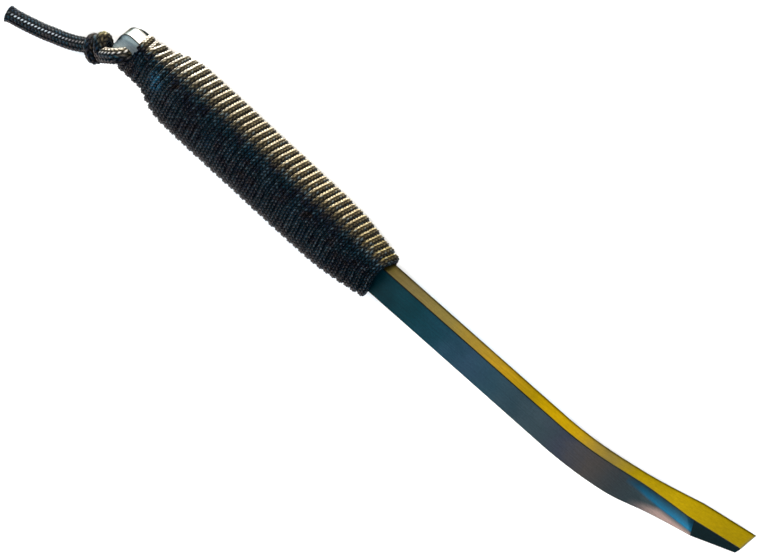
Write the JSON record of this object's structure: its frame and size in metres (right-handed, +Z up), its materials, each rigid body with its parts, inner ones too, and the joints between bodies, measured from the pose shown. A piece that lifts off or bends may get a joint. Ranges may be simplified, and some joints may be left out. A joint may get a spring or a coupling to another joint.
{
  "type": "pry bar",
  "caption": "Flat steel pry bar with a bent, flared chisel end, a cord-wrapped grip and a short knotted cord tail through the lanyard hole at its butt.",
  "frame": {"origin": "on the surface that the bar lies on, under the middle of the bar and its grip", "axes": "+X from the butt towards the chisel tip, +Y towards the side that the tip bends to, +Z up out of the wide face"},
  "size_m": [0.4147, 0.0665, 0.0232],
  "materials": {
    "steel": "satin, with a blue and straw heat tint",
    "wrap_cord": "braided nylon cord, slight sheen",
    "inner_cord": "braided nylon cord",
    "lanyard_cord": "braided nylon cord, slight sheen"
  },
  "bodies": {
    "root": {"pry_bar": "steel", "grip_under_wrap": "inner_cord", "grip_over_wrap": "wrap_cord", "lanyard_hitch": "lanyard_cord", "lanyard_strand": "lanyard_cord", "lanyard_knot": "lanyard_cord", "lanyard_tail": "lanyard_cord"}
  },
  "joints": []
}
